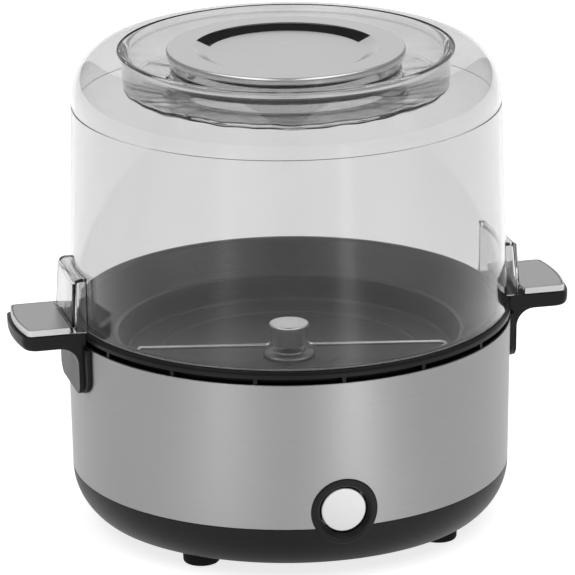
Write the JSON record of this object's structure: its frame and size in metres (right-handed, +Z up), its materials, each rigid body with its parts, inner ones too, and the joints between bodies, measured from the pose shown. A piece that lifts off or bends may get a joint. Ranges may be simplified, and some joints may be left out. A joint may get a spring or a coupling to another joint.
{
  "type": "popcorn maker",
  "caption": "Round popcorn maker: steel-clad base with a button, heated pan with a driven wire stirrer, clear lid that doubles as a bowl, and a lift-off measuring cap.",
  "frame": {"origin": "centre of the plane on which the feet stand, on the pan's axis", "axes": "+Z up along the pan's axis; the power button faces -Y; the handles point to +X and -X"},
  "size_m": [0.294, 0.23, 0.2514],
  "materials": {
    "black_plastic": "fine satin, moulded",
    "black_plastic_rough": "matt, moulded",
    "screw_steel": "plated",
    "foot_rubber": "matt",
    "brushed_shell": "brushed round the body",
    "nonstick_pan": "non-stick coating, semi-gloss",
    "bush_steel": "turned",
    "cast_aluminium": "cast",
    "element_steel": "heat-darkened tube",
    "dark_phenolic": "moulded",
    "ceramic_white": "matt",
    "reflector_sheet": "plain sheet",
    "zinc_sheet": "zinc plated",
    "lead_insulation": "silicone sleeve",
    "white_plastic": "moulded",
    "hub_steel": "turned and brushed",
    "wire_steel": "polished wire",
    "button_silver": "satin silver",
    "clear_plastic": "clear, polished",
    "satin_steel": "satin",
    "cap_steel": "fine satin with a bright edge"
  },
  "bodies": {
    "base": {"base_tray": "black_plastic", "bottom_plate": "black_plastic_rough", "base_screws": "screw_steel", "foot_front_right": "foot_rubber", "foot_back_right": "foot_rubber", "foot_back_left": "foot_rubber", "foot_front_left": "foot_rubber", "steel_shell": "brushed_shell", "vent_ring": "black_plastic", "base_handle_right": "black_plastic", "base_handle_left": "black_plastic", "handle_screws": "screw_steel", "pan": "nonstick_pan", "pan_bush": "bush_steel", "bush_nut": "screw_steel", "heater_plate": "cast_aluminium", "heating_element": "element_steel", "thermostat": "dark_phenolic", "thermal_fuse": "ceramic_white", "pan_spacers": "screw_steel", "pan_screws": "screw_steel", "heat_reflector": "reflector_sheet", "reflector_screws": "screw_steel", "motor_bracket": "zinc_sheet", "gear_motor": "zinc_sheet", "motor_screws": "screw_steel", "switch_body": "dark_phenolic", "terminal_block": "ceramic_white", "cord_gland": "foot_rubber", "wiring": "lead_insulation"},
    "drive": {"motor_spindle": "bush_steel", "drive_coupler": "white_plastic", "drive_shaft": "bush_steel", "shaft_clip": "screw_steel"},
    "stirrer": {"stirrer_hub": "hub_steel", "stirrer_wire": "wire_steel"},
    "button": {"power_button": "button_silver", "switch_plunger": "white_plastic"},
    "lid": {"lid_bowl": "clear_plastic", "lid_plate_right": "satin_steel", "lid_plate_left": "satin_steel"},
    "cap": {"cap_cover": "cap_steel", "cap_grip": "black_plastic", "measuring_cup": "clear_plastic"}
  },
  "joints": [
    {"name": "drive_spin", "type": "hinge", "parent": "base", "child": "drive", "pos_m": [0, 0, 0.08], "axis": [0, 0, 1], "continuous": true},
    {"name": "stirrer_lift", "type": "slide", "parent": "drive", "child": "stirrer", "axis": [0, 0, 1], "range_m": [0, 0.06]},
    {"name": "button_push", "type": "slide", "parent": "base", "child": "button", "axis": [0, 1, 0], "range_m": [0, 0.0025], "stiffness_N_per_m": 1200, "springref_m": -0.001},
    {"name": "lid_lift", "type": "slide", "parent": "base", "child": "lid", "axis": [0, 0, 1], "range_m": [0, 0.15]},
    {"name": "cap_lift", "type": "slide", "parent": "lid", "child": "cap", "axis": [0, 0, 1], "range_m": [0, 0.06]}
  ]
}
